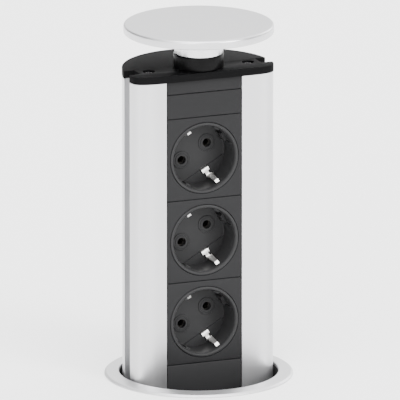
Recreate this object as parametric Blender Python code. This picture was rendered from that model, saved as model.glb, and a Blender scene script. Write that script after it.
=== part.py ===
"""Pop-up desk socket column: a D-shaped aluminium column with three earthed
sockets that slides up out of a round collar clamped in a desk top.

Frame: metres, +Z up, origin at the centre of the flange underside (the desk
surface).  The sockets face -Y.  The column is modelled fully raised.
"""
import bpy
import bmesh
import math
from mathutils import Matrix, Vector

MM = 0.001
GAP = 0.3                      # running clearance between touching pieces
LARGE_SEG = 64                 # facets of the lid, flange and sleeve
WELL_SEG = 36                  # facets of the socket wells
SMALL_SEG = 16                 # facets of screws, gland and contacts

# Collar, in the desk cut-out
FLANGE_R = 57.5
FLANGE_BORE_R = 48.6
FLANGE_T = 2.5
SPIGOT_R = 51.2                # underside recess that locates the sleeve
SPIGOT_DEPTH = 0.4
SLEEVE_R = 50.9
SLEEVE_BORE_R = 49.0
SLEEVE_BOTTOM = -62.0
NUT_BORE_R = 51.3
NUT_R = 58.0
NUT_LUG_R = 61.5
NUT_TOP = -32.1
NUT_BOTTOM = -42.0
WASHER_R = 62.0
WASHER_TOP = -29.5
WASHER_BOTTOM = -31.8
KEY_TOP = -10.0
KEY_BOTTOM = -42.3

# Column extrusion
COLUMN_R = 46.5
COLUMN_WALL = 2.0
COLUMN_TOP = 187.7
COLUMN_BOTTOM = -42.5
FACE_Y = -9.5                  # front plane of the socket modules
OPENING_X = 24.5               # half width of the module channel
GROOVE_FRONT = -3.5
GROOVE_REAR = 6.5
GROOVE_FLOOR = 40.0
PORT_X = 32.3                  # screw port centres
PORT_Y = 0.5

# End plates
PLATE_TOP = 192.5
PLATE_BOTTOM = 188.0
PLATE_R = 46.7
PLATE_FRONT = -14.8
BASE_TOP = -42.8
BASE_BOTTOM = -45.3
HEAD_R = 3.4
HEAD_H = 2.4
SHANK_R = 1.8
SCREW_HOLE_R = 2.2
COUNTERBORE_R = 3.8
COUNTERBORE_DEPTH = 3.4

# Hub, lid and latch
HUB_R = 15.5
HUB_FRONT = -14.0
HUB_TOP = 201.2
SPINDLE_R = 4.0
SPINDLE_BORE_R = 4.4
LID_COLLAR_R = 14.9
LID_COLLAR_TOP = 214.0
LID_R = 45.7
LID_BOTTOM = 214.3
LID_TOP = 219.8
CAM_LONG = 9.5
CAM_SHORT = 5.0
CAM_TOP = 182.0
CAM_BOTTOM = 178.0
BOLT_TAIL = 5.7
BOLT_TIP = 46.1
BOLT_HALF_W = 4.0
COLUMN_TRAVEL = 214.0

# Module stack on the front face
STACK_TOP = 187.7
TRIM_H = 8.9
BLANK_TOP = 178.8
SOCKET_TOP = 163.5
SOCKET_PITCH = 51.5
MODULE_HALF_W = 24.2
PANEL_T = 3.0
LEG_INNER = 22.75
LEG_REAR = 4.0

# Earthed socket (two 4.8 mm pins 19 mm apart, two side earth contacts)
RIM_R = 22.05
RIM_HOLE_R = 22.35
WELL_R = 19.7
WELL_DEPTH = 17.5
WELL_FLOOR_T = 2.5
CUP_R = 21.0
PIN_HALF_PITCH = 9.5
PIN_HOLE_R = 2.7
PIN_AXIS_DEG = 30.0
CLIP_W = 5.0
CLIP_T = 0.8
CLIP_SLOT_R = 11.0
CONTACT_R = 3.3
CONTACT_BORE_R = 2.5
CONTACT_LENGTH = 13.0

# Cable entry
GLAND_Y = 25.0
GLAND_R = 7.9
GLAND_BORE_R = 4.5
GLAND_FLANGE_R = 11.0

PART = "desk_socket_column"


def clear_scene():
    for ob in list(bpy.data.objects):
        bpy.data.objects.remove(ob, do_unlink=True)


def make_collection(name):
    col = bpy.data.collections.new(name)
    bpy.context.scene.collection.children.link(col)
    return col


clear_scene()
PARTS = make_collection(PART)
CUTTERS = make_collection("cutters")


def material(name, colour, metallic, roughness):
    mat = bpy.data.materials.new(name)
    mat.use_nodes = True
    shader = mat.node_tree.nodes["Principled BSDF"]
    shader.inputs["Base Color"].default_value = (*colour, 1.0)
    shader.inputs["Metallic"].default_value = metallic
    shader.inputs["Roughness"].default_value = roughness
    return mat


FINISH = {
    "anodised": ((0.78, 0.78, 0.79), 0.9, 0.38),
    "satin_steel": ((0.72, 0.72, 0.73), 1.0, 0.3),
    "chrome": ((0.85, 0.85, 0.86), 1.0, 0.12),
    "charcoal": ((0.055, 0.055, 0.06), 0.0, 0.5),
    "black": ((0.02, 0.02, 0.022), 0.0, 0.55),
    "grey": ((0.2, 0.2, 0.21), 0.0, 0.6),
    "brass": ((0.75, 0.58, 0.3), 1.0, 0.3),
    "nickel": ((0.8, 0.79, 0.76), 1.0, 0.2),
    "zinc": ((0.55, 0.56, 0.58), 1.0, 0.4),
}


def finish_mesh(bm, name, finish, collection=None):
    """Turn a bmesh in millimetres into a named object with its own material."""
    bmesh.ops.recalc_face_normals(bm, faces=bm.faces)
    if bm.calc_volume(signed=True) < 0:
        bmesh.ops.reverse_faces(bm, faces=bm.faces)
    bmesh.ops.scale(bm, vec=(MM, MM, MM), verts=bm.verts)
    mesh = bpy.data.meshes.new(name)
    bm.to_mesh(mesh)
    bm.free()
    ob = bpy.data.objects.new(name, mesh)
    target = collection or PARTS
    target.objects.link(ob)
    if target is CUTTERS:
        ob.hide_render = True
        ob.display_type = "WIRE"
    else:
        colour, metallic, roughness = FINISH[finish]
        mesh.materials.append(material(name, colour, metallic, roughness))
    return ob


def add_prism(bm, outline, low, high, axis="Z"):
    """Extrude a closed outline between two heights along an axis."""
    def place(u, v, w):
        if axis == "Z":
            return (u, v, w)
        if axis == "Y":
            return (u, w, v)
        return (w, u, v)
    lower = [bm.verts.new(place(u, v, low)) for u, v in outline]
    upper = [bm.verts.new(place(u, v, high)) for u, v in outline]
    count = len(outline)
    bm.faces.new(lower)
    bm.faces.new(upper)
    for i in range(count):
        j = (i + 1) % count
        bm.faces.new((lower[i], lower[j], upper[j], upper[i]))
    return lower + upper


def add_lathe(bm, profile, segments, radius_of=None):
    """Revolve (radius, height) points about Z; a closed ring or a solid."""
    def spin(radius, height):
        ring = []
        for i in range(segments):
            angle = 2 * math.pi * i / segments
            r = radius_of(radius, i) if radius_of else radius
            ring.append(bm.verts.new((r * math.cos(angle), r * math.sin(angle), height)))
        return ring
    solid = profile[0][0] == 0
    if solid:
        start = bm.verts.new((0, 0, profile[0][1]))
        end = bm.verts.new((0, 0, profile[-1][1]))
        rings = [spin(r, h) for r, h in profile[1:-1]]
        for i in range(segments):
            j = (i + 1) % segments
            bm.faces.new((start, rings[0][i], rings[0][j]))
            bm.faces.new((end, rings[-1][j], rings[-1][i]))
        pairs = list(zip(rings, rings[1:]))
        verts = [start, end]
    else:
        rings = [spin(r, h) for r, h in profile]
        pairs = list(zip(rings, rings[1:] + rings[:1]))
        verts = []
    for first, second in pairs:
        for i in range(segments):
            j = (i + 1) % segments
            bm.faces.new((first[i], first[j], second[j], second[i]))
    for ring in rings:
        verts.extend(ring)
    return verts


def add_box(bm, x0, x1, y0, y1, z0, z1):
    return add_prism(bm, [(x0, y0), (x1, y0), (x1, y1), (x0, y1)], z0, z1)


def move(bm, verts, matrix):
    bmesh.ops.transform(bm, matrix=matrix, verts=verts)


def lathe(name, finish, profile, segments, centre=(0, 0), radius_of=None):
    bm = bmesh.new()
    verts = add_lathe(bm, profile, segments, radius_of)
    move(bm, verts, Matrix.Translation((centre[0], centre[1], 0)))
    return finish_mesh(bm, name, finish)


def prism(name, finish, outline, low, high, axis="Z"):
    bm = bmesh.new()
    add_prism(bm, outline, low, high, axis)
    return finish_mesh(bm, name, finish)


def box(name, finish, x0, x1, y0, y1, z0, z1):
    bm = bmesh.new()
    add_box(bm, x0, x1, y0, y1, z0, z1)
    return finish_mesh(bm, name, finish)


def apply_boolean(ob, cutter, operation):
    mod = ob.modifiers.new(cutter.name, "BOOLEAN")
    mod.operation = operation
    mod.solver = "EXACT"
    mod.object = cutter


def arc(radius, start_deg, end_deg, steps):
    points = []
    for i in range(steps + 1):
        angle = math.radians(start_deg + (end_deg - start_deg) * i / steps)
        points.append((radius * math.cos(angle), radius * math.sin(angle)))
    return points


def mirrored(points):
    """The same points on the -X side, in reverse order."""
    return [(-x, y) for x, y in reversed(points)]


def empty(name, location, parent=None):
    ob = bpy.data.objects.new(name, None)
    PARTS.objects.link(ob)
    ob.location = Vector(location) * MM
    if parent:
        ob.parent = parent
        ob.location = (Vector(location) - parent_origin(parent)) * MM
    return ob


def parent_origin(ob):
    origin = Vector((0, 0, 0))
    while ob:
        origin += ob.location / MM
        ob = ob.parent
    return origin


def attach(parent, *objects):
    """Hang pieces modelled in world millimetres from a body's empty."""
    offset = parent_origin(parent) * MM
    for ob in objects:
        ob.data.transform(Matrix.Translation(-offset))
        ob.parent = parent


def through_cutter(name, outline, low, high, axis="Z"):
    bm = bmesh.new()
    add_prism(bm, outline, low, high, axis)
    return finish_mesh(bm, name, None, CUTTERS)


# ---------------------------------------------------------------- bodies
collar = empty("collar", (0, 0, 0))
clamp_carrier = empty("clamp_carrier", (0, 0, WASHER_BOTTOM), collar)
clamp_turn = empty("clamp_turn", (0, 0, NUT_TOP), clamp_carrier)
column = empty("column", (0, 0, 0), collar)
lid = empty("lid", (0, 0, LID_BOTTOM), column)
latch = empty("latch", (0, BOLT_TAIL, (CAM_TOP + CAM_BOTTOM) / 2), column)

# ---------------------------------------------------------------- collar
flange_ring = lathe(
    "flange_ring", "satin_steel",
    [(FLANGE_BORE_R, SPIGOT_DEPTH), (SPIGOT_R, SPIGOT_DEPTH), (SPIGOT_R, 0.0),
     (FLANGE_R, 0.0), (FLANGE_R, 0.7), (FLANGE_R - 0.8, 1.5),
     (FLANGE_R - 3.5, 2.2), (FLANGE_R - 6.0, FLANGE_T),
     (FLANGE_BORE_R + 0.8, FLANGE_T), (FLANGE_BORE_R, FLANGE_T - 0.8)],
    LARGE_SEG)
collar_sleeve = lathe(
    "collar_sleeve", "black",
    [(SLEEVE_BORE_R, SLEEVE_BOTTOM), (SLEEVE_R, SLEEVE_BOTTOM),
     (SLEEVE_R, SPIGOT_DEPTH - GAP), (SLEEVE_BORE_R, SPIGOT_DEPTH - GAP)],
    LARGE_SEG)
latch_window_top = CAM_TOP - COLUMN_TRAVEL + 0.8
latch_window_bottom = CAM_BOTTOM - COLUMN_TRAVEL - 0.8
window_half_w = BOLT_HALF_W + 1.0
bm = bmesh.new()
add_box(bm, -window_half_w, window_half_w, SLEEVE_BORE_R - 4, SLEEVE_R + 4,
        latch_window_bottom, latch_window_top)
window_cutter = finish_mesh(bm, "cut_latch_window", None, CUTTERS)
apply_boolean(collar_sleeve, window_cutter, "DIFFERENCE")

key_outer = SLEEVE_BORE_R - 0.7
key_inner = GROOVE_FLOOR + 0.8
guide_keys = []
for side, sign in (("left", -1), ("right", 1)):
    edges = sorted((sign * key_inner, sign * key_outer))
    guide_keys.append(box(
        "guide_key_" + side, "grey", edges[0], edges[1],
        GROOVE_FRONT + 0.6, GROOVE_REAR - 0.6, KEY_BOTTOM, KEY_TOP))
attach(collar, flange_ring, collar_sleeve, *guide_keys)

clamp_washer = lathe(
    "clamp_washer", "zinc",
    [(NUT_BORE_R, WASHER_BOTTOM), (WASHER_R, WASHER_BOTTOM),
     (WASHER_R, WASHER_TOP), (NUT_BORE_R, WASHER_TOP)],
    LARGE_SEG)
attach(clamp_carrier, clamp_washer)


def lugged(radius, index):
    """Six grip lugs round the clamp nut."""
    if radius < NUT_R:
        return radius
    return NUT_LUG_R if index % 8 in (2, 3, 4) else radius


clamp_nut = lathe(
    "clamp_nut", "black",
    [(NUT_BORE_R, NUT_BOTTOM), (NUT_R, NUT_BOTTOM), (NUT_R, NUT_TOP), (NUT_BORE_R, NUT_TOP)],
    48, radius_of=lugged)
attach(clamp_turn, clamp_nut)

# ---------------------------------------------------------------- column
cheek = [(OPENING_X, FACE_Y), (30.0, -11.2), (35.0, -12.2), (39.5, -12.2),
         (43.0, -11.1), (45.2, -8.8), (46.1, -6.0)]
groove_edge_x = math.sqrt(COLUMN_R ** 2 - GROOVE_FRONT ** 2)
flank = cheek + [(groove_edge_x, GROOVE_FRONT)]
rear_start = math.degrees(math.asin(GROOVE_REAR / COLUMN_R))
outer_half = flank + [(GROOVE_FLOOR, GROOVE_FRONT), (GROOVE_FLOOR, GROOVE_REAR)]
outer = outer_half + arc(COLUMN_R, rear_start, 180 - rear_start, 36) + mirrored(outer_half)

inner_wall_x = GROOVE_FLOOR - COLUMN_WALL
inner_rear_y = GROOVE_REAR + COLUMN_WALL
inner_r = COLUMN_R - COLUMN_WALL
port_gap = SHANK_R + GAP
port_arm = 1.6
port = [(inner_wall_x, PORT_Y - port_gap - port_arm),
        (PORT_X - 2.8, PORT_Y - port_gap - port_arm), (PORT_X - 2.8, PORT_Y - port_gap),
        (PORT_X + 3.5, PORT_Y - port_gap), (PORT_X + 3.5, PORT_Y + port_gap),
        (PORT_X - 2.8, PORT_Y + port_gap), (PORT_X - 2.8, PORT_Y + port_gap + port_arm),
        (inner_wall_x, PORT_Y + port_gap + port_arm)]
groove_wall_y = GROOVE_FRONT - COLUMN_WALL
inner_half = [(OPENING_X, FACE_Y + COLUMN_WALL), (30.0, -9.1), (35.0, -10.1), (38.8, -10.1),
              (41.8, -9.3), (43.3, -7.7), (43.8, groove_wall_y), (inner_wall_x, groove_wall_y)]
inner_half = inner_half + port + [(inner_wall_x, inner_rear_y)]
inner_start = math.degrees(math.asin(inner_rear_y / inner_r))
inner = inner_half + arc(inner_r, inner_start, 180 - inner_start, 36) + mirrored(inner_half)

# The wall is one strip: out along its outer face, back along its inner face.
strip = outer + list(reversed(inner))
column_profile = prism("column_profile", "anodised", strip, COLUMN_BOTTOM, COLUMN_TOP)
notch = through_cutter(
    "cut_bolt_notch",
    [(-BOLT_HALF_W - 0.4, inner_r - 4), (BOLT_HALF_W + 0.4, inner_r - 4),
     (BOLT_HALF_W + 0.4, COLUMN_R + 4), (-BOLT_HALF_W - 0.4, COLUMN_R + 4)],
    CAM_BOTTOM - 0.4, COLUMN_TOP + 2)
apply_boolean(column_profile, notch, "DIFFERENCE")


def end_outline(radius, front_y, flank_points, slotted):
    """D-shaped end plate outline, with or without the two guide slots."""
    half = list(flank_points)
    if slotted:
        half.append((math.sqrt(radius ** 2 - GROOVE_FRONT ** 2), GROOVE_FRONT))
        half.append((GROOVE_FLOOR - 0.6, GROOVE_FRONT))
        half.append((GROOVE_FLOOR - 0.6, GROOVE_REAR))
        start = math.degrees(math.asin(GROOVE_REAR / radius))
    else:
        start = 0.0
    return half + arc(radius, start, 180 - start, 36) + mirrored(half)


plate_flank = [(27.0, PLATE_FRONT), (33.0, -14.7), (38.0, -14.1),
               (42.4, -12.4), (45.1, -9.6), (46.3, -6.2)]
top_plate = prism("top_plate", "black",
                  end_outline(PLATE_R, PLATE_FRONT, plate_flank, True),
                  PLATE_BOTTOM, PLATE_TOP)
bm = bmesh.new()
for sign in (-1, 1):
    verts = add_lathe(
        bm,
        [(0, PLATE_BOTTOM - 2), (SCREW_HOLE_R, PLATE_BOTTOM - 2),
         (SCREW_HOLE_R, PLATE_TOP - COUNTERBORE_DEPTH),
         (COUNTERBORE_R, PLATE_TOP - COUNTERBORE_DEPTH),
         (COUNTERBORE_R, PLATE_TOP + 2), (0, PLATE_TOP + 2)],
        SMALL_SEG)
    move(bm, verts, Matrix.Translation((sign * PORT_X, PORT_Y, 0)))
add_lathe(bm, [(0, PLATE_BOTTOM - 2), (SPINDLE_BORE_R, PLATE_BOTTOM - 2),
               (SPINDLE_BORE_R, PLATE_TOP + 2), (0, PLATE_TOP + 2)], SMALL_SEG)
plate_cutter = finish_mesh(bm, "cut_plate_holes", None, CUTTERS)
apply_boolean(top_plate, plate_cutter, "DIFFERENCE")

bottom_plate = prism("bottom_plate", "black",
                     end_outline(COLUMN_R, FACE_Y, flank, False),
                     BASE_BOTTOM, BASE_TOP)
bm = bmesh.new()
for centre, radius in (((-PORT_X, PORT_Y), SCREW_HOLE_R), ((PORT_X, PORT_Y), SCREW_HOLE_R),
                       ((0, GLAND_Y), GLAND_R + GAP)):
    verts = add_lathe(bm, [(0, BASE_BOTTOM - 2), (radius, BASE_BOTTOM - 2),
                           (radius, BASE_TOP + 2), (0, BASE_TOP + 2)], SMALL_SEG)
    move(bm, verts, Matrix.Translation((centre[0], centre[1], 0)))
base_cutter = finish_mesh(bm, "cut_base_holes", None, CUTTERS)
apply_boolean(bottom_plate, base_cutter, "DIFFERENCE")

screws = []
head_seat = PLATE_TOP - COUNTERBORE_DEPTH + GAP
for side, sign in (("left", -1), ("right", 1)):
    screws.append(lathe(
        "top_screw_" + side, "zinc",
        [(0, head_seat - 14), (SHANK_R, head_seat - 14), (SHANK_R, head_seat),
         (HEAD_R, head_seat), (HEAD_R, head_seat + HEAD_H - 0.6),
         (HEAD_R - 0.8, head_seat + HEAD_H), (0, head_seat + HEAD_H)],
        SMALL_SEG, (sign * PORT_X, PORT_Y)))
    low_seat = BASE_BOTTOM - GAP
    screws.append(lathe(
        "bottom_screw_" + side, "zinc",
        [(0, low_seat - HEAD_H), (HEAD_R - 0.8, low_seat - HEAD_H),
         (HEAD_R, low_seat - HEAD_H + 0.6), (HEAD_R, low_seat),
         (SHANK_R, low_seat), (SHANK_R, low_seat + 14), (0, low_seat + 14)],
        SMALL_SEG, (sign * PORT_X, PORT_Y)))

hub_arc_deg = math.degrees(math.asin(-HUB_FRONT / HUB_R))
hub_housing = prism("hub_housing", "black",
                    arc(HUB_R, -hub_arc_deg, 180 + hub_arc_deg, 30),
                    PLATE_TOP + GAP, HUB_TOP)
bm = bmesh.new()
add_lathe(bm, [(0, PLATE_TOP - 2), (SPINDLE_BORE_R, PLATE_TOP - 2),
               (SPINDLE_BORE_R, HUB_TOP + 2), (0, HUB_TOP + 2)], SMALL_SEG)
hub_cutter = finish_mesh(bm, "cut_hub_bore", None, CUTTERS)
apply_boolean(hub_housing, hub_cutter, "DIFFERENCE")

gland_low = BASE_BOTTOM - GAP
cable_gland = lathe(
    "cable_gland", "grey",
    [(GLAND_BORE_R, gland_low - 8), (GLAND_FLANGE_R - 2, gland_low - 8),
     (GLAND_FLANGE_R, gland_low - 5), (GLAND_FLANGE_R, gland_low),
     (GLAND_R, gland_low), (GLAND_R, BASE_TOP + 6), (GLAND_BORE_R, BASE_TOP + 6)],
    24, (0, GLAND_Y))
gland_nut = lathe(
    "gland_nut", "grey",
    [(GLAND_R + GAP, BASE_TOP + GAP), (GLAND_FLANGE_R + 0.5, BASE_TOP + GAP),
     (GLAND_FLANGE_R + 0.5, BASE_TOP + 4.5), (GLAND_R + GAP, BASE_TOP + 4.5)],
    24, (0, GLAND_Y), radius_of=lambda r, i: r * (1 if r < 9 or i % 4 == 0 else 0.93))

# ---------------------------------------------------------------- front modules


def channel_outline(rear):
    """Module cross-section: front panel with two side legs."""
    return [(-MODULE_HALF_W, FACE_Y), (MODULE_HALF_W, FACE_Y), (MODULE_HALF_W, rear),
            (LEG_INNER, rear), (LEG_INNER, FACE_Y + PANEL_T),
            (-LEG_INNER, FACE_Y + PANEL_T), (-LEG_INNER, rear), (-MODULE_HALF_W, rear)]


trim_bottom = STACK_TOP - TRIM_H + GAP
top_trim_strip = box("top_trim_strip", "charcoal", -MODULE_HALF_W, MODULE_HALF_W,
                     FACE_Y, FACE_Y + PANEL_T, trim_bottom, STACK_TOP)
blank_module = box("blank_module", "charcoal", -MODULE_HALF_W, MODULE_HALF_W,
                   FACE_Y, FACE_Y + PANEL_T, SOCKET_TOP + GAP, BLANK_TOP)
stack_bottom = SOCKET_TOP - 3 * SOCKET_PITCH
bottom_blank = prism("bottom_blank", "charcoal", channel_outline(LEG_REAR),
                     COLUMN_BOTTOM, stack_bottom)

floor_y = FACE_Y + WELL_DEPTH
back_y = floor_y + WELL_FLOOR_T
axis_tilt = math.radians(PIN_AXIS_DEG)


def to_socket(centre_z, tilt=0.0):
    """Local frame of a socket: local Z runs into the well (+Y), local X right."""
    into_well = Matrix(((1, 0, 0, 0), (0, 0, 1, 0), (0, 1, 0, 0), (0, 0, 0, 1)))
    return Matrix.Translation((0, 0, centre_z)) @ into_well @ Matrix.Rotation(tilt, 4, "Z")


def clip_strip(bm):
    """Bent earth strip: hidden bridge, two feet on the floor, two side arms."""
    half = [(11.0, back_y + 0.7), (11.0, floor_y - 0.9), (16.9, floor_y - 0.9),
            (17.6, floor_y - 2.6), (16.7, FACE_Y + 8.0), (18.2, FACE_Y + 3.2)]
    path = mirrored(half) + half
    sides = []
    for i, (r, y) in enumerate(path):
        before = Vector(path[max(i - 1, 0)])
        after = Vector(path[min(i + 1, len(path) - 1)])
        here = Vector((r, y))
        first = (here - before).normalized() if i else (after - here).normalized()
        second = (after - here).normalized() if i < len(path) - 1 else first
        normal_a = Vector((-first.y, first.x))
        normal_b = Vector((-second.y, second.x))
        mitre = (normal_a + normal_b).normalized()
        reach = CLIP_T / 2 / max(mitre.dot(normal_a), 0.5)
        sides.append((here + mitre * reach, here - mitre * reach))
    outline = [tuple(a) for a, _ in sides] + [tuple(b) for _, b in reversed(sides)]
    return add_prism(bm, outline, -CLIP_W / 2, CLIP_W / 2, "Y")


def local_profile_to_z(verts, bm, centre_z, tilt):
    move(bm, verts, to_socket(centre_z, tilt))


socket_frames = []
socket_inserts = []
earth_clips = []
contacts = []
for number in (1, 2, 3):
    top = SOCKET_TOP - (number - 1) * SOCKET_PITCH
    centre = top - SOCKET_PITCH / 2
    frame = prism("socket_frame_%d" % number, "charcoal", channel_outline(LEG_REAR),
                  top - SOCKET_PITCH + GAP, top)
    bm = bmesh.new()
    verts = add_lathe(bm, [(0, FACE_Y - 4), (RIM_HOLE_R, FACE_Y - 4),
                           (RIM_HOLE_R, FACE_Y + PANEL_T + 4), (0, FACE_Y + PANEL_T + 4)],
                      WELL_SEG)
    local_profile_to_z(verts, bm, centre, 0.0)
    cutter = finish_mesh(bm, "cut_frame_%d" % number, None, CUTTERS)
    apply_boolean(frame, cutter, "DIFFERENCE")
    socket_frames.append(frame)

    bm = bmesh.new()
    shoulder = FACE_Y + PANEL_T + GAP
    verts = add_lathe(
        bm,
        [(0, back_y), (CUP_R, back_y), (CUP_R, shoulder + 1.6),
         (RIM_HOLE_R + 0.15, shoulder + 1.6), (RIM_HOLE_R + 0.15, shoulder),
         (RIM_R, shoulder), (RIM_R, FACE_Y - 0.1), (RIM_R - 0.4, FACE_Y - 0.4),
         (WELL_R + 0.4, FACE_Y - 0.4), (WELL_R, FACE_Y), (WELL_R, floor_y), (0, floor_y)],
        WELL_SEG)
    local_profile_to_z(verts, bm, centre, axis_tilt)
    insert = finish_mesh(bm, "socket_insert_%d" % number, "charcoal")
    bm = bmesh.new()
    for sign in (-1, 1):
        rib = add_box(bm, 17.2, WELL_R + 0.6, -2.6, 2.6, FACE_Y + 11.0, floor_y + 1.0)
        if sign < 0:
            move(bm, rib, Matrix.Rotation(math.pi, 4, "Z"))
        local_profile_to_z(rib, bm, centre, axis_tilt)
    ribs = finish_mesh(bm, "add_ribs_%d" % number, None, CUTTERS)
    apply_boolean(insert, ribs, "UNION")
    bm = bmesh.new()
    for sign in (-1, 1):
        hole = add_lathe(bm, [(0, floor_y - 2), (PIN_HOLE_R, floor_y - 2),
                              (PIN_HOLE_R, back_y + 2), (0, back_y + 2)], SMALL_SEG)
        move(bm, hole, Matrix.Translation((sign * PIN_HALF_PITCH, 0, 0)))
        local_profile_to_z(hole, bm, centre, axis_tilt)
        slot = add_box(bm, -CLIP_W / 2 - GAP, CLIP_W / 2 + GAP,
                       sign * CLIP_SLOT_R - 0.9, sign * CLIP_SLOT_R + 0.9,
                       floor_y - 2, back_y + 2)
        local_profile_to_z(slot, bm, centre, axis_tilt)
    holes = finish_mesh(bm, "cut_floor_%d" % number, None, CUTTERS)
    apply_boolean(insert, holes, "DIFFERENCE")
    socket_inserts.append(insert)

    bm = bmesh.new()
    verts = clip_strip(bm)
    # The strip is built in (radius, depth) with its width on the local Y axis.
    local_profile_to_z(verts, bm, centre, axis_tilt + math.pi / 2)
    earth_clips.append(finish_mesh(bm, "earth_clip_%d" % number, "nickel"))

    for side, sign in (("left", -1), ("right", 1)):
        start = back_y + GAP + 0.1
        bm = bmesh.new()
        verts = add_lathe(
            bm,
            [(0, start + CONTACT_LENGTH), (CONTACT_R, start + CONTACT_LENGTH),
             (CONTACT_R, start), (CONTACT_BORE_R, start),
             (CONTACT_BORE_R, start + CONTACT_LENGTH - 1.0),
             (0, start + CONTACT_LENGTH - 1.0)],
            12)
        move(bm, verts, Matrix.Translation((sign * PIN_HALF_PITCH, 0, 0)))
        local_profile_to_z(verts, bm, centre, axis_tilt)
        contacts.append(finish_mesh(bm, "contact_%s_%d" % (side, number), "brass"))

bus_y = back_y + GAP + 0.1 + CONTACT_LENGTH + GAP
pin_x = PIN_HALF_PITCH * math.cos(axis_tilt)
pin_z = PIN_HALF_PITCH * math.sin(axis_tilt)
lowest = SOCKET_TOP - 2.5 * SOCKET_PITCH
highest = SOCKET_TOP - 0.5 * SOCKET_PITCH
busbars = [
    box("live_busbar", "brass", pin_x - 2.8, pin_x + 2.8, bus_y, bus_y + 0.8,
        lowest + pin_z - 28, highest + pin_z + 4),
    box("neutral_busbar", "brass", -pin_x - 2.8, -pin_x + 2.8, bus_y, bus_y + 0.8,
        lowest - pin_z - 18, highest - pin_z + 4),
    box("earth_busbar", "brass", -2.2, 2.2, back_y + 1.4, back_y + 2.2,
        lowest - 24, highest + 6),
]
terminal_block = box("terminal_block", "grey", -16, 16, back_y + 3, back_y + 17,
                     lowest - 50, lowest - 30)
bm = bmesh.new()
for x in (-10, 0, 10):
    verts = add_lathe(bm, [(0, lowest - 52), (2.6, lowest - 52), (2.6, lowest - 40),
                           (0, lowest - 40)], 12)
    move(bm, verts, Matrix.Translation((x, back_y + 10, 0)))
terminal_cutter = finish_mesh(bm, "cut_terminals", None, CUTTERS)
apply_boolean(terminal_block, terminal_cutter, "DIFFERENCE")

guide_x = BOLT_HALF_W + 0.4
latch_guide = prism(
    "latch_guide", "zinc",
    [(-guide_x - 2, COLUMN_TOP), (-guide_x - 2, CAM_BOTTOM - 2), (guide_x + 2, CAM_BOTTOM - 2),
     (guide_x + 2, COLUMN_TOP), (guide_x, COLUMN_TOP), (guide_x, CAM_BOTTOM - 0.4),
     (-guide_x, CAM_BOTTOM - 0.4), (-guide_x, COLUMN_TOP)],
    14.0, 40.0, "Y")
attach(column, column_profile, top_plate, bottom_plate, hub_housing, cable_gland, gland_nut,
       top_trim_strip, blank_module, bottom_blank, terminal_block, latch_guide,
       *screws, *socket_frames, *socket_inserts, *earth_clips, *contacts, *busbars)

# ---------------------------------------------------------------- lid and latch
lid_disc = lathe(
    "lid_disc", "satin_steel",
    [(0, LID_BOTTOM), (LID_R - 1.2, LID_BOTTOM), (LID_R - 0.3, LID_BOTTOM + 0.4),
     (LID_R, LID_BOTTOM + 1.2), (LID_R, LID_TOP - 1.4), (LID_R - 0.4, LID_TOP - 0.5),
     (LID_R - 1.4, LID_TOP), (0, LID_TOP)],
    LARGE_SEG)
lid_collar = lathe(
    "lid_collar", "chrome",
    [(SPINDLE_BORE_R, HUB_TOP + GAP), (LID_COLLAR_R - 0.4, HUB_TOP + GAP),
     (LID_COLLAR_R, HUB_TOP + 0.8), (LID_COLLAR_R, LID_COLLAR_TOP - 0.5),
     (LID_COLLAR_R - 0.4, LID_COLLAR_TOP), (SPINDLE_BORE_R, LID_COLLAR_TOP)],
    40)
lid_spindle = lathe(
    "lid_spindle", "zinc",
    [(0, CAM_BOTTOM - 3.5), (SPINDLE_R - 0.5, CAM_BOTTOM - 3.5), (SPINDLE_R, CAM_BOTTOM - 3),
     (SPINDLE_R, LID_COLLAR_TOP - 0.5), (SPINDLE_R - 0.5, LID_COLLAR_TOP),
     (0, LID_COLLAR_TOP)],
    SMALL_SEG)
cam_outline = []
for i in range(28):
    angle = 2 * math.pi * i / 28
    reach = CAM_LONG if math.cos(angle) > 0 else CAM_SHORT
    cam_outline.append((reach * math.cos(angle), CAM_SHORT * math.sin(angle)))
lock_cam = prism("lock_cam", "zinc", cam_outline, CAM_BOTTOM, CAM_TOP)
bm = bmesh.new()
add_lathe(bm, [(0, CAM_BOTTOM - 2), (SPINDLE_R + GAP, CAM_BOTTOM - 2),
               (SPINDLE_R + GAP, CAM_TOP + 2), (0, CAM_TOP + 2)], SMALL_SEG)
cam_cutter = finish_mesh(bm, "cut_cam_bore", None, CUTTERS)
apply_boolean(lock_cam, cam_cutter, "DIFFERENCE")
attach(lid, lid_disc, lid_collar, lid_spindle, lock_cam)

latch_bolt = box("latch_bolt", "zinc", -BOLT_HALF_W, BOLT_HALF_W, BOLT_TAIL, BOLT_TIP,
                 CAM_BOTTOM, CAM_TOP)
attach(latch, latch_bolt)
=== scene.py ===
"""Looks of the pop-up desk socket column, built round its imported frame."""
import math
import bpy
import bmesh
from mathutils import Matrix, Vector


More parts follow.
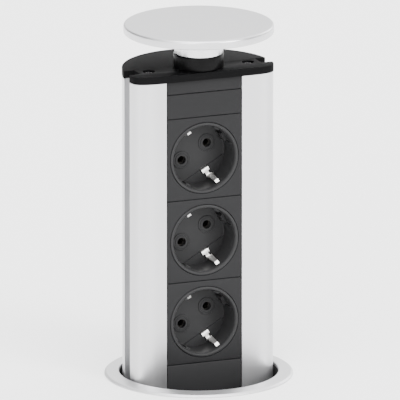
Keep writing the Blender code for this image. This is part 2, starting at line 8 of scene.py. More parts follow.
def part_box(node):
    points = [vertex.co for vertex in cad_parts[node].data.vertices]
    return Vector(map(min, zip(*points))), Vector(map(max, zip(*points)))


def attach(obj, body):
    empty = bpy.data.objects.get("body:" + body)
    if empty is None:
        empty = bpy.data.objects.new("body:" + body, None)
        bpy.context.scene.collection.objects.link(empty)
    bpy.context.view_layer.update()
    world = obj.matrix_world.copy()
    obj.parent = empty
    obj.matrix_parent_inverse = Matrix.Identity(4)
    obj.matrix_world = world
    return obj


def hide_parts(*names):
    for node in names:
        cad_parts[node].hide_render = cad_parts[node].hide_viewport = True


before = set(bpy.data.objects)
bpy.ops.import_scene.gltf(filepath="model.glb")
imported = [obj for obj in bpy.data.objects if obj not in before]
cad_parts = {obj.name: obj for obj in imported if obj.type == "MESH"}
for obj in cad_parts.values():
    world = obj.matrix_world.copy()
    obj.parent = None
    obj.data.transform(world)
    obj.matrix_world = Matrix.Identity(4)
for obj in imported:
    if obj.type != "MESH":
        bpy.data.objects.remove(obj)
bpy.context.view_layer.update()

MM = 0.001


# ------------------------------------------------------------------ materials
class Signal:
    """A value that flows through a finish; arithmetic on it adds Math nodes."""

    def __init__(self, finish, socket):
        self.finish = finish
        self.socket = socket

    def _math(self, operation, first, second=0.0, clamp=False):
        settings = {"operation": operation, "use_clamp": clamp}
        node = self.finish.node("ShaderNodeMath", settings, {0: first, 1: second})
        return Signal(self.finish, node.outputs[0])

    def __add__(self, other):
        return self._math("ADD", self, other)

    def __mul__(self, other):
        return self._math("MULTIPLY", self, other)

    def limited(self):
        return self._math("ADD", self, 0.0, clamp=True)


class Finish:
    """One surface finish: a Principled shader and the nodes that vary it."""

    def __init__(self, name, colour, metallic=0.0, roughness=0.5, **fixed):
        self.material = bpy.data.materials.new(name)
        self.material.use_nodes = True
        self.tree = self.material.node_tree
        self.shader = self.tree.nodes["Principled BSDF"]
        self.colour = colour
        self.roughness = roughness
        self.shader.inputs["Base Color"].default_value = (*colour, 1.0)
        self.shader.inputs["Metallic"].default_value = metallic
        self.shader.inputs["Roughness"].default_value = roughness
        for socket, value in fixed.items():
            self.shader.inputs[socket.replace("_", " ")].default_value = value

    def node(self, kind, settings, inputs):
        """Adds a node, sets what it is, then feeds its sockets."""
        made = self.tree.nodes.new(kind)
        for key, value in settings.items():
            setattr(made, key, value)
        for key, value in inputs.items():
            if isinstance(value, Signal):
                self.tree.links.new(value.socket, made.inputs[key])
            else:
                made.inputs[key].default_value = value
        return made

    def place(self, scale):
        """Position on the piece, stretched by a scale along each axis."""
        where = self.node("ShaderNodeTexCoord", {}, {})
        spot = Signal(self, where.outputs["Object"])
        mapped = self.node("ShaderNodeMapping", {}, {"Vector": spot, "Scale": scale})
        return Signal(self, mapped.outputs["Vector"])

    def noise(self, scale, detail=3.0, rough=0.55):
        """Grain with its size set along each axis, in cells per metre."""
        grain = self.node("ShaderNodeTexNoise", {},
                          {"Vector": self.place(scale), "Scale": 1.0, "Detail": detail,
                           "Roughness": rough})
        return Signal(self, grain.outputs["Fac"])

    def radius(self):
        """Distance from the Z axis, in metres."""
        flat = self.place((1.0, 1.0, 0.0))
        length = self.node("ShaderNodeVectorMath", {"operation": "LENGTH"}, {0: flat})
        return Signal(self, length.outputs["Value"])

    def line_noise(self, position, scale):
        """Grain that varies along one measure only, such as the radius."""
        grain = self.node("ShaderNodeTexNoise", {"noise_dimensions": "1D"},
                          {"W": position, "Scale": scale, "Detail": 3.0})
        return Signal(self, grain.outputs["Fac"])

    def tint(self, amount, light, dark):
        """Base colour between a dark and a light version of the finish."""
        low = [part * dark for part in self.colour] + [1.0]
        high = [min(part * light, 1.0) for part in self.colour] + [1.0]
        mixed = self.node("ShaderNodeMix", {"data_type": "RGBA"},
                          {0: amount, 6: low, 7: high})
        self.tree.links.new(mixed.outputs[2], self.shader.inputs["Base Color"])

    def rough(self, signal):
        self.tree.links.new(signal.socket, self.shader.inputs["Roughness"])

    def bump(self, height, depth, strength=1.0):
        """Relief: a height from 0 to 1 over a depth in metres."""
        relief = self.node("ShaderNodeBump", {},
                           {"Height": height, "Distance": depth, "Strength": strength})
        self.tree.links.new(relief.outputs["Normal"], self.shader.inputs["Normal"])


def anodised_aluminium():
    """Drawn extrusion: fine streaks along its length under a satin anodising."""
    made = Finish("silver_anodised", (0.58, 0.58, 0.59), metallic=0.94, roughness=0.34)
    drawn = made.noise((2600.0, 2600.0, 9.0), detail=4.0)
    streaks = made.noise((420.0, 420.0, 3.0), detail=3.0)
    cloud = made.noise((60.0, 60.0, 22.0), detail=2.0)
    made.tint((drawn * 0.5 + streaks * 0.3 + cloud * 0.2).limited(), 1.03, 0.95)
    made.rough(drawn * 0.12 + streaks * 0.06 + 0.25)
    made.bump(drawn * 0.7 + streaks * 0.3, 0.00002, 0.35)
    return made.material


def satin_disc():
    """Bead-blasted then lacquered metal with a trace of its turning."""
    made = Finish("satin_lid_metal", (0.58, 0.58, 0.59), metallic=0.96, roughness=0.34)
    blast = made.noise((5200.0, 5200.0, 5200.0), detail=2.0)
    turning = made.line_noise(made.radius(), 2400.0)
    cloud = made.noise((55.0, 55.0, 55.0), detail=3.0)
    made.tint((blast * 0.45 + turning * 0.25 + cloud * 0.3).limited(), 1.03, 0.95)
    made.rough(blast * 0.10 + cloud * 0.08 + 0.25)
    made.bump(blast * 0.8 + turning * 0.2, 0.000012, 0.4)
    return made.material


def satin_flange():
    """Turned and blasted ring, a little duller than the lid."""
    made = Finish("satin_flange_metal", (0.60, 0.60, 0.61), metallic=0.96, roughness=0.42)
    turning = made.line_noise(made.radius(), 3200.0)
    blast = made.noise((4200.0, 4200.0, 4200.0), detail=2.0)
    made.tint((turning * 0.5 + blast * 0.5).limited(), 1.03, 0.94)
    made.rough(turning * 0.10 + blast * 0.06 + 0.34)
    made.bump(turning * 0.5 + blast * 0.5, 0.000012, 0.4)
    return made.material


def satin_neck():
    """Smoother turned tube under the lid."""
    made = Finish("satin_neck_metal", (0.72, 0.72, 0.73), metallic=1.0, roughness=0.24)
    haze = made.noise((300.0, 300.0, 2400.0), detail=3.0)
    made.rough(haze * 0.10 + 0.22)
    made.tint(haze, 1.01, 0.95)
    return made.material


def moulded_plastic(name, colour, grain_size, low_rough, high_rough, relief, gloss):
    """Injection-moulded plastic: spark-eroded grain and faint flow marks."""
    made = Finish(name, colour, roughness=(low_rough + high_rough) / 2,
                  Specular_IOR_Level=gloss)
    grain = made.noise((grain_size, grain_size, grain_size), detail=3.0, rough=0.6)
    flow = made.noise((90.0, 90.0, 260.0), detail=2.0)
    made.tint((grain * 0.55 + flow * 0.45).limited(), 1.14, 0.84)
    made.rough(grain * (high_rough - low_rough) + flow * 0.05 + low_rough)
    made.bump(grain, relief, 0.6)
    return made.material


def plated(name, colour, roughness, spread):
    """Plated or bare sheet metal, with handling haze and rolling lines."""
    made = Finish(name, colour, metallic=1.0, roughness=roughness)
    haze = made.noise((700.0, 700.0, 700.0), detail=4.0)
    rolled = made.noise((160.0, 160.0, 3800.0), detail=2.0)
    made.tint((haze * 0.6 + rolled * 0.4).limited(), 1.04, 0.86)
    made.rough(haze * spread + rolled * 0.05 + (roughness - spread / 2))
    made.bump(rolled * 0.5 + haze * 0.5, 0.00001, 0.3)
    return made.material


def desk_top():
    """Plain pale desk the column stands in."""
    made = Finish("desk_white", (0.93, 0.93, 0.93), roughness=0.6, Specular_IOR_Level=0.2)
    soft = made.noise((40.0, 40.0, 40.0), detail=2.0)
    made.rough(soft * 0.08 + 0.56)
    return made.material


ANODISED = anodised_aluminium()
LID_METAL = satin_disc()
FLANGE_METAL = satin_flange()
NECK_METAL = satin_neck()
CHARCOAL = moulded_plastic("charcoal_moulding", (0.0112, 0.0112, 0.0117), 3400.0,
                           0.40, 0.60, 0.00003, 0.10)
WELL_PLASTIC = moulded_plastic("socket_moulding", (0.016, 0.016, 0.0165), 2800.0,
                               0.30, 0.46, 0.00002, 0.12)
BLACK = moulded_plastic("black_moulding", (0.0035, 0.0035, 0.0037), 3000.0,
                        0.48, 0.66, 0.00003, 0.025)
HUB_BLACK = moulded_plastic("hub_moulding", (0.002, 0.002, 0.0021), 2200.0,
                            0.26, 0.38, 0.00001, 0.07)
SHELL_BLACK = moulded_plastic("shell_moulding", (0.035, 0.035, 0.036), 3000.0,
                             0.38, 0.56, 0.00003, 0.4)
GREY = moulded_plastic("grey_nylon", (0.16, 0.16, 0.17), 2600.0, 0.42, 0.6, 0.00003, 0.3)
NICKEL = plated("nickel_plate", (0.90, 0.89, 0.87), 0.36, 0.12)
BRASS = plated("dull_brass", (0.42, 0.30, 0.14), 0.38, 0.16)
# Socket contacts: brass darkened almost to black, as painted shade for the shadowed walls
# inside the pin holes.
CONTACT_PAINTED_SHADE = plated("contact_metal_painted_shade", (0.07, 0.065, 0.06), 0.5, 0.12)
ZINC = plated("zinc_plate", (0.58, 0.59, 0.61), 0.34, 0.14)
BLACK_STEEL = plated("blackened_steel", (0.03, 0.03, 0.032), 0.4, 0.14)


# ------------------------------------------------------------------ shapes
def rounded(points, radius=0.4, steps=4, closed=False):
    """Rounds the corners of a path; a point may carry its own radius."""
    spots = [Vector(p[:2]) for p in points]
    radii = [p[2] if len(p) > 2 else radius for p in points]
    count = len(spots)
    path = []
    for i, here in enumerate(spots):
        if not closed and i in (0, count - 1):
            path.append(tuple(here))
            continue
        before = spots[i - 1]
        after = spots[(i + 1) % count]
        to_before = (before - here)
        to_after = (after - here)
        room = min(to_before.length, to_after.length) * 0.49
        turn = to_before.angle(to_after, math.pi)
        if radii[i] <= 0 or turn > math.radians(176):
            path.append(tuple(here))
            continue
        reach = min(radii[i] / math.tan(turn / 2), room)
        start = here + to_before.normalized() * reach
        end = here + to_after.normalized() * reach
        for k in range(steps + 1):
            t = k / steps
            spot = start * (1 - t) ** 2 + here * 2 * t * (1 - t) + end * t ** 2
            path.append((spot.x, spot.y))
    return path


def smooth_run(points, steps=6):
    """A soft curve through all the points, ends included."""
    spots = [Vector(p) for p in points]
    run = []
    for i in range(len(spots) - 1):
        a = spots[max(i - 1, 0)]
        b, c = spots[i], spots[i + 1]
        d = spots[min(i + 2, len(spots) - 1)]
        for k in range(steps):
            t = k / steps
            spot = (b * 2 + (c - a) * t + (a * 2 - b * 5 + c * 4 - d) * t ** 2
                    + (b * 3 - a - c * 3 + d) * t ** 3) / 2
            run.append((spot.x, spot.y))
    run.append(tuple(spots[-1]))
    return run


def arc(radius, start_deg, end_deg, steps):
    """Points on a circle about the origin, both ends included."""
    points = []
    for i in range(steps + 1):
        angle = math.radians(start_deg + (end_deg - start_deg) * i / steps)
        points.append((radius * math.cos(angle), radius * math.sin(angle)))
    return points


def mirrored(points):
    """The same path on the other side of the YZ plane, run backwards."""
    return [(-p[0],) + tuple(p[1:]) for p in reversed(points)]


def add_lathe(bm, profile, segments, shape=None):
    """Revolves (radius, height) points about Z, as a ring or with flat closed ends."""
    def spin(radius, height):
        ring = []
        for i in range(segments):
            angle = 2 * math.pi * i / segments
            r = shape(radius, height, angle) if shape else radius
            ring.append(bm.verts.new((r * math.cos(angle), r * math.sin(angle), height)))
        return ring
    if profile[0][0] == 0:
        rings = [spin(r, h) for r, h in profile[1:-1]]
        bm.faces.new(rings[0])
        bm.faces.new(rings[-1])
        pairs = list(zip(rings, rings[1:]))
    else:
        rings = [spin(r, h) for r, h in profile]
        pairs = list(zip(rings, rings[1:] + rings[:1]))
    for first, second in pairs:
        for i in range(segments):
            j = (i + 1) % segments
            bm.faces.new((first[i], first[j], second[j], second[i]))
    return [vert for ring in rings for vert in ring]


def add_prism(bm, outline, low, high):
    """Extrudes an outline in the XY plane between two heights."""
    lower = [bm.verts.new((u, v, low)) for u, v in outline]
    upper = [bm.verts.new((u, v, high)) for u, v in outline]
    count = len(outline)
    bm.faces.new(lower)
    bm.faces.new(upper)
    for i in range(count):
        j = (i + 1) % count
        bm.faces.new((lower[i], lower[j], upper[j], upper[i]))
    return lower + upper


def add_box(bm, x0, x1, y0, y1, z0, z1):
    return add_prism(bm, [(x0, y0), (x1, y0), (x1, y1), (x0, y1)], z0, z1)


def shift(bm, verts, matrix):
    bmesh.ops.transform(bm, matrix=matrix, verts=verts)


def about(angle_deg):
    """A turn about Z."""
    return Matrix.Rotation(math.radians(angle_deg), 4, "Z")


def add_cylinder(bm, radius, low, high, segments, centre=(0, 0)):
    """Upright cylinder, used for the cutters of round holes."""
    verts = add_lathe(bm, [(0, low), (radius, low), (radius, high), (0, high)], segments)
    shift(bm, verts, Matrix.Translation((centre[0], centre[1], 0)))


def to_object(bm, name, unit=MM):
    """Millimetre mesh code to an object in metres, facing out."""
    bmesh.ops.recalc_face_normals(bm, faces=bm.faces)
    if bm.calc_volume(signed=True) < 0:
        bmesh.ops.reverse_faces(bm, faces=bm.faces)
    bmesh.ops.scale(bm, vec=(unit, unit, unit), verts=bm.verts)
    mesh = bpy.data.meshes.new(name)
    bm.to_mesh(mesh)
    bm.free()
    ob = bpy.data.objects.new(name, mesh)
    bpy.context.scene.collection.objects.link(ob)
    return ob


def placed(ob, name, matrix):
    """A copy in metres of a piece worked out in millimetres in its own axes."""
    bm = bmesh.new()
    bm.from_mesh(ob.data)
    bmesh.ops.transform(bm, matrix=matrix, verts=bm.verts)
    return to_object(bm, name)


def settle(ob):
    """Turns a piece's modifiers into its mesh."""
    depsgraph = bpy.context.evaluated_depsgraph_get()
    mesh = bpy.data.meshes.new_from_object(ob.evaluated_get(depsgraph))
    ob.modifiers.clear()
    old = ob.data
    ob.data = mesh
    bpy.data.meshes.remove(old)


def carve(ob, cutter, operation="DIFFERENCE"):
    """Cuts or joins another solid, which is then thrown away."""
    mod = ob.modifiers.new("carve", "BOOLEAN")
    mod.operation = operation
    mod.solver = "EXACT"
    mod.object = cutter
    settle(ob)
    bpy.data.objects.remove(cutter, do_unlink=True)


def soften(ob, width, segments=2, angle=32, unit=MM):
    """Moulding radius on every hard edge."""
    mod = ob.modifiers.new("soften", "BEVEL")
    mod.width = width * unit
    mod.segments = segments
    mod.limit_method = "ANGLE"
    mod.angle_limit = math.radians(angle)
    mod.use_clamp_overlap = True
    settle(ob)


def done(ob, finish, body, *nodes, crease=34):
    """Shading, finish, and the body and CAD nodes the piece stands for."""
    for face in ob.data.polygons:
        face.use_smooth = True
    ob.data.set_sharp_from_angle(angle=math.radians(crease))
    ob.data.materials.clear()
    ob.data.materials.append(finish)
    if nodes:
        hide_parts(*nodes)
    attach(ob, body)
    return ob


def turned(name, profile, segments, finish, body, *nodes, shape=None, centre=(0, 0)):
    """A finished piece of revolution."""
    bm = bmesh.new()
    verts = add_lathe(bm, profile, segments, shape)
    shift(bm, verts, Matrix.Translation((centre[0], centre[1], 0)))
    return done(to_object(bm, name), finish, body, *nodes)


# ------------------------------------------------------------------ sizes from the frame
def corners(node):
    """Lowest and highest corner of a CAD node, in millimetres."""
    low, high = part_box(node)
    return [v / MM for v in low], [v / MM for v in high]


lid_low, lid_high = corners("lid_disc")
neck_low, neck_high = corners("lid_collar")
hub_low, hub_high = corners("hub_housing")
plate_low, plate_high = corners("top_plate")
column_low, column_high = corners("column_profile")
ring_low, ring_high = corners("flange_ring")
sleeve_low, sleeve_high = corners("collar_sleeve")
nut_low, nut_high = corners("clamp_nut")
washer_low, washer_high = corners("clamp_washer")
base_low, base_high = corners("bottom_plate")

LID_R = lid_high[0]
COLUMN_R = column_high[1]
PLATE_R = plate_high[1]
FACE_Y = corners("blank_module")[0][1]
WALL = 2.0                      # of the extrusion
GROOVE_FRONT = -3.5             # side groove, front and rear face and floor
GROOVE_REAR = 6.5
GROOVE_FLOOR = 40.0
LIP = 1.3                       # how far the groove's rear edge overhangs
OPENING_X = 24.5                # half the front opening
PORT = (32.3, 0.5)              # right-hand screw port
SPINDLE_BORE_R = 4.4
SLEEVE_BORE_R = 49.0
CLAMP_BORE_R = 51.3
NUT_R = 58.0                    # between the grip lugs
THREAD_PITCH = 6.0
CORD_HOLE = (0.0, 25.0)
COVER_THICK = 3.0
PIN_TILT = math.radians(30.0)
PIN_OFFSET = 9.5                # half the pin spacing
EARTH_OFFSET = 12.9             # centre of each earth slot
RIM_R = 22.05
WELL_R = 19.7
WELL_OUTER_R = 20.35
FLOOR_Y = FACE_Y + 17.5         # floor and back of a socket well
BACK_Y = FLOOR_Y + 2.5
PAST = 3.0                      # how far a cutter runs past what it cuts

# ------------------------------------------------------------------ lid and neck
turned("lid", rounded([(0, lid_low[2]), (LID_R, lid_low[2], 1.1), (LID_R, lid_high[2], 1.9),
                       (0, lid_high[2])], steps=10),
       192, LID_METAL, "lid", "lid_disc")
neck_r = neck_high[0]
seam_r = neck_r - 0.35
turned("lid_neck",
       rounded([(SPINDLE_BORE_R, neck_low[2]), (neck_r, neck_low[2], 0.6),
                (neck_r, neck_low[2] + 9.2, 0.1), (seam_r, neck_low[2] + 9.4, 0.1),
                (seam_r, neck_low[2] + 9.9, 0.1), (neck_r, neck_low[2] + 10.1, 0.1),
                (neck_r, neck_high[2], 0.5),
                (SPINDLE_BORE_R, neck_high[2])], steps=4),
       128, NECK_METAL, "lid", "lid_collar")

# ------------------------------------------------------------------ hub on the top plate
hub_r = hub_high[0]
flatten = -hub_low[1] / hub_r
bm = bmesh.new()
add_prism(bm, [(x, y * flatten if y < 0 else y) for x, y in arc(hub_r, 0, 358, 179)],
          hub_low[2], hub_high[2])
hub = to_object(bm, "hub")
bm = bmesh.new()
add_cylinder(bm, SPINDLE_BORE_R, hub_low[2] - PAST, hub_high[2] + PAST, 48)
carve(hub, to_object(bm, "cutter"))
soften(hub, 0.45, 3, angle=40)
done(hub, HUB_BLACK, "column", "hub_housing")

# ------------------------------------------------------------------ top plate
plate_run = smooth_run([(27.0, -14.8), (33.0, -14.7), (38.0, -14.1), (42.4, -12.4),
                        (45.1, -9.6), (46.3, -6.2),
                        (math.sqrt(PLATE_R ** 2 - GROOVE_FRONT ** 2), GROOVE_FRONT)], 5)
rear_deg = math.degrees(math.asin(GROOVE_REAR / PLATE_R))
half = plate_run[:-1]
half += rounded([plate_run[-2], plate_run[-1], (GROOVE_FLOOR - 0.6, GROOVE_FRONT),
                 (GROOVE_FLOOR - 0.6, GROOVE_REAR),
                 (PLATE_R * math.cos(math.radians(rear_deg)), GROOVE_REAR),
                 (PLATE_R * math.cos(math.radians(rear_deg + 3)),
                  PLATE_R * math.sin(math.radians(rear_deg + 3)))], 0.5, 4)[1:-1]
outline = half + arc(PLATE_R, rear_deg + 3, 177 - rear_deg, 110) + mirrored(half)
bm = bmesh.new()
add_prism(bm, outline, plate_low[2], plate_high[2])
plate = to_object(bm, "top_cap")
bm = bmesh.new()
for side in (-1, 1):
    sink = add_lathe(bm, [(0, plate_low[2] - PAST), (2.2, plate_low[2] - PAST),
                          (2.2, plate_high[2] - 3.4), (3.8, plate_high[2] - 3.4),
                          (3.8, plate_high[2] + PAST), (0, plate_high[2] + PAST)], 48)
    shift(bm, sink, Matrix.Translation((side * PORT[0], PORT[1], 0)))
add_cylinder(bm, SPINDLE_BORE_R, plate_low[2] - PAST, plate_high[2] + PAST, 32)
carve(plate, to_object(bm, "cutter"))
soften(plate, 0.4, 3, angle=40)
done(plate, BLACK, "column", "top_plate")

# ------------------------------------------------------------------ screws


def pan_screw(name, node, facing, finish):
    """Pan-head screw with a cross recess; facing is +1 head up, -1 head down."""
    low, high = corners(node)
    x = (low[0] + high[0]) / 2
    y = (low[1] + high[1]) / 2
    top = high[2] if facing > 0 else low[2]
    tail = low[2] if facing > 0 else high[2]
    under = top - facing * 2.4
    profile = rounded([(0, top), (1.8, top, 0.2), (3.4, top - facing * 1.1, 0.7),
                       (3.4, under, 0.2), (1.8, under, 0.1), (1.8, tail + facing * 0.6, 0.2),
                       (1.2, tail, 0.1), (0, tail)], 0.2, 3)
    bm = bmesh.new()
    body = add_lathe(bm, profile, 40)
    shift(bm, body, Matrix.Translation((x, y, 0)))
    ob = to_object(bm, name)
    for turn in (25, 115):
        bm = bmesh.new()
        depth = sorted((top - facing * 1.3, top + facing * 1.0))
        bar = add_box(bm, -1.9, 1.9, -0.42, 0.42, depth[0], depth[1])
        shift(bm, bar, Matrix.Translation((x, y, 0)) @ about(turn))
        carve(ob, to_object(bm, "cutter"))
    done(ob, finish, "column", node)


for side in ("left", "right"):
    pan_screw("cap_screw_" + side, "top_screw_" + side, 1, BLACK_STEEL)
    pan_screw("base_screw_" + side, "bottom_screw_" + side, -1, ZINC)

# ------------------------------------------------------------------ aluminium extrusion
cheek_end = GROOVE_FRONT - 0.4
cheek = smooth_run([(OPENING_X + 0.9, FACE_Y - 0.35), (30.0, -11.2), (35.0, -12.2),
                    (39.5, -12.2), (43.0, -11.1), (45.2, -8.8), (46.1, -6.0),
                    (math.sqrt(COLUMN_R ** 2 - cheek_end ** 2), cheek_end)], 6)
edge = rounded([(OPENING_X, FACE_Y + 1.2), (OPENING_X, FACE_Y - 0.15, 0.55), cheek[0]], 0.5, 4)
groove_x = math.sqrt(COLUMN_R ** 2 - GROOVE_FRONT ** 2)
rear_x = math.sqrt(COLUMN_R ** 2 - GROOVE_REAR ** 2)
start_deg = math.degrees(math.asin(GROOVE_REAR / COLUMN_R))
groove = rounded([cheek[-1], (groove_x, GROOVE_FRONT, 0.35),
                  (GROOVE_FLOOR, GROOVE_FRONT, 0.3), (GROOVE_FLOOR, GROOVE_REAR + 1.2, 0.3),
                  (rear_x - LIP, GROOVE_REAR + 1.2, 0.1), (rear_x - LIP, GROOVE_REAR, 0.1),
                  (rear_x, GROOVE_REAR, 0.25),
                  (COLUMN_R * math.cos(math.radians(start_deg + 1.2)),
                   COLUMN_R * math.sin(math.radians(start_deg + 1.2)))], 0.3, 3)
outer_half = edge[:-1] + cheek[:-1] + groove[:-1]
outer = outer_half + arc(COLUMN_R, start_deg + 1.2, 178.8 - start_deg, 120)
outer += mirrored(outer_half)
inner_r = COLUMN_R - WALL
inner_rear_y = GROOVE_REAR + WALL
inner_deg = math.degrees(math.asin(inner_rear_y / inner_r))
port_arm = [(38.0, -3.2), (29.5, -3.2), (29.5, -1.6), (35.8, -1.6), (35.8, 2.6), (29.5, 2.6),
            (29.5, 4.2), (38.0, 4.2)]
inner_half = [(OPENING_X, FACE_Y + WALL), (30.0, -9.1), (35.0, -10.1), (38.8, -10.1),
              (41.8, -9.3), (43.3, -7.7), (43.8, -5.5), (38.0, -5.5)]
inner_half += port_arm + [(38.0, inner_rear_y)]
inner = inner_half + arc(inner_r, inner_deg, 180 - inner_deg, 60) + mirrored(inner_half)
bm = bmesh.new()
add_prism(bm, outer + list(reversed(inner)), column_low[2], column_high[2])
shell = to_object(bm, "column_shell")
bolt_low, bolt_high = corners("latch_bolt")
bm = bmesh.new()
add_box(bm, bolt_low[0] - 0.4, bolt_high[0] + 0.4, inner_r - 4, COLUMN_R + 4,
        bolt_low[2] - 0.4, column_high[2] + PAST)
carve(shell, to_object(bm, "cutter"))
done(shell, ANODISED, "column", "column_profile", crease=28)


# ------------------------------------------------------------------ front modules
def panel(name, node, legs, unit=MM):
    """Flat front cover, with the two side legs where the node has them."""
    low, high = corners(node)
    thick = FACE_Y + COVER_THICK
    if legs:
        outline = [(low[0], FACE_Y), (high[0], FACE_Y), (high[0], high[1]), (22.75, high[1]),
                   (22.75, thick), (-22.75, thick), (-22.75, high[1]), (low[0], high[1])]
    else:
        outline = [(low[0], FACE_Y), (high[0], FACE_Y), (high[0], thick), (low[0], thick)]
    bm = bmesh.new()
    add_prism(bm, outline, low[2], high[2])
    return to_object(bm, name, unit)


for name, node, legs in (("trim_strip", "top_trim_strip", False),
                         ("blank_cover", "blank_module", False),
                         ("foot_cover", "bottom_blank", True)):
    cover = panel(name, node, legs)
    soften(cover, 0.45, 3)
    done(cover, CHARCOAL, "column", node)


def socket_frame_of(centre_z, tilt=0.0):
    """Local socket axes: Z runs into the well, X to the right, Y up."""
    into_well = Matrix(((1, 0, 0, 0), (0, 0, 1, 0), (0, 1, 0, 0), (0, 0, 0, 1)))
    return Matrix.Translation((0, 0, centre_z)) @ into_well @ Matrix.Rotation(tilt, 4, "Z")


def socket_well():
    """Cup of one socket in its own axes, with the pins along X."""
    shoulder = FACE_Y + 3.3
    profile = rounded(
        [(0, BACK_Y), (21.0, BACK_Y, 0.5), (21.0, shoulder + 1.6, 0.2),
         (22.5, shoulder + 1.6, 0.2), (22.5, shoulder, 0.2), (RIM_R, shoulder, 0.2),
         (RIM_R, FACE_Y - 0.4, 0.55), (WELL_R + 0.9, FACE_Y - 0.4, 0.3),
         (WELL_R + 0.25, FACE_Y + 0.5, 0.4), (WELL_R, FACE_Y + 2.2, 0.5),
         (WELL_R, FLOOR_Y, 0.7), (0, FLOOR_Y)], 0.3, 4)
    bm = bmesh.new()
    add_lathe(bm, profile, 144)
    cup = to_object(bm, "well", 1.0)

    # Raised parts: the segment on the earth side, the pin collars and the wall ribs.
    bm = bmesh.new()
    chord = 12.4
    ends = math.degrees(math.asin(chord / 20.3))
    add_prism(bm, arc(20.3, ends - 180, -ends, 40), FLOOR_Y - 0.6, FLOOR_Y + 1.0)
    for side in (-1, 1):
        boss = add_lathe(bm, rounded([(0, FLOOR_Y - 0.55), (5.5, FLOOR_Y - 0.55, 0.4),
                                      (5.5, FLOOR_Y + 1.1), (0, FLOOR_Y + 1.1)], 0.3, 4), 72)
        shift(bm, boss, Matrix.Translation((side * PIN_OFFSET, 0, 0)))
    for angle, depth, width, top, foot in ((0, 1.9, 2.6, 9.5, 18.6), (180, 1.9, 2.6, 9.5, 18.6),
                                           (31, 1.0, 1.7, 3.4, 9.0), (211, 1.0, 1.7, 3.4, 9.0),
                                           (-10, 0.6, 0.3, 2.6, 10.5)):
        rib = add_prism(bm, [(WELL_R - depth, -width), (WELL_OUTER_R, -width - 0.3),
                             (WELL_OUTER_R, width + 0.3), (WELL_R - depth, width)],
                        FACE_Y + top, FACE_Y + foot)
        shift(bm, rib, about(angle))
    carve(cup, to_object(bm, "adder", 1.0), "UNION")

    # Cut parts: pin holes, collar grooves, earth slots and two wall notches.
    bm = bmesh.new()
    for side in (-1, 1):
        add_cylinder(bm, 2.7, FLOOR_Y - PAST, BACK_Y + PAST, 48, (side * PIN_OFFSET, 0))
        trench = add_lathe(bm, [(4.0, FLOOR_Y - 2), (4.4, FLOOR_Y - 2), (4.4, FLOOR_Y - 0.2),
                                (4.0, FLOOR_Y - 0.2)], 60)
        shift(bm, trench, Matrix.Translation((side * PIN_OFFSET, 0, 0)))
        add_box(bm, -2.7, 2.7, side * EARTH_OFFSET - 0.8, side * EARTH_OFFSET + 0.8,
                FLOOR_Y - PAST, BACK_Y + PAST)
    for angle, width, top in ((184.0, 1.0, -1.5), (70.0, 0.9, 6.0)):
        notch = add_prism(bm, [(WELL_R - 1.3, -width), (WELL_R + 0.8, -width),
                               (WELL_R + 0.8, width), (WELL_R - 1.3, width)],
                          FACE_Y + top, FACE_Y + top + 5.2)
        shift(bm, notch, about(angle))
    carve(cup, to_object(bm, "cutter", 1.0))
    return cup


def earth_strip():
    """Sprung earth strip: hidden bridge, feet on the floor, arms up the wall."""
    def width_at(radius, depth):
        if depth > FLOOR_Y - 2.0 and radius < 14.95:
            return 4.8
        return 2.4 if depth > FLOOR_Y - 2.0 or depth < FACE_Y + 3.4 else 3.5

    half = [(EARTH_OFFSET, BACK_Y + 0.7), (EARTH_OFFSET, FLOOR_Y - 1.5, 0.8),
            (14.9, FLOOR_Y - 1.5, 0), (15.0, FLOOR_Y - 1.5, 0), (16.6, FLOOR_Y - 1.5, 0.5),
            (18.2, FLOOR_Y - 1.9, 0.6), (16.0, FLOOR_Y - 5.6, 0.9), (17.5, FACE_Y + 2.9, 0.6),
            (19.1, FACE_Y + 2.1)]
    path = rounded(mirrored(half) + half, 0.9, 4)
    spots = [Vector(spot) for spot in path]
    sections = []
    bm = bmesh.new()
    for i, here in enumerate(spots):
        ahead = (spots[min(i + 1, len(spots) - 1)] - here)
        behind = (here - spots[max(i - 1, 0)])
        ahead = (ahead if ahead.length else behind).normalized()
        behind = (behind if behind.length else ahead).normalized()
        side_a = Vector((-behind.y, behind.x))
        mitre = (side_a + Vector((-ahead.y, ahead.x))).normalized()
        out = mitre * (0.4 / max(mitre.dot(side_a), 0.5))
        half_width = width_at(abs(here.x), here.y) / 2
        sections.append([bm.verts.new((spot.x, across, spot.y)) for spot, across in
                         ((here + out, -half_width), (here + out, half_width),
                          (here - out, half_width), (here - out, -half_width))])
    for first, second in zip(sections, sections[1:]):
        for i in range(4):
            j = (i + 1) % 4
            bm.faces.new((first[i], first[j], second[j], second[i]))
    bm.faces.new(sections[0])
    bm.faces.new(sections[-1])
    return to_object(bm, "strip", 1.0)


well = socket_well()
strip = earth_strip()
for number in (1, 2, 3):
    low, high = corners("socket_insert_%d" % number)
    centre = (low[2] + high[2]) / 2
    cover = panel("cover", "socket_frame_%d" % number, True, 1.0)
    soften(cover, 0.45, 3, unit=1.0)
    bm = bmesh.new()
    verts = add_lathe(bm, rounded([(0, FACE_Y - 4), (23.2, FACE_Y - 4), (23.2, FACE_Y - 0.1),
                                   (22.35, FACE_Y - 0.1, 0.4), (22.35, FACE_Y + 7),
                                   (0, FACE_Y + 7)], 0, 6), 128)
    shift(bm, verts, socket_frame_of(centre))
    carve(cover, to_object(bm, "cutter", 1.0))
    done(placed(cover, "socket_cover_%d" % number, Matrix.Identity(4)), CHARCOAL, "column",
         "socket_frame_%d" % number)
    bpy.data.objects.remove(cover, do_unlink=True)
    tilted = socket_frame_of(centre, PIN_TILT)
    done(placed(well, "socket_well_%d" % number, tilted), WELL_PLASTIC, "column",
         "socket_insert_%d" % number, crease=30)
    done(placed(strip, "earth_strip_%d" % number, tilted @ about(90)), NICKEL, "column",
         "earth_clip_%d" % number)
bpy.data.objects.remove(well, do_unlink=True)
bpy.data.objects.remove(strip, do_unlink=True)

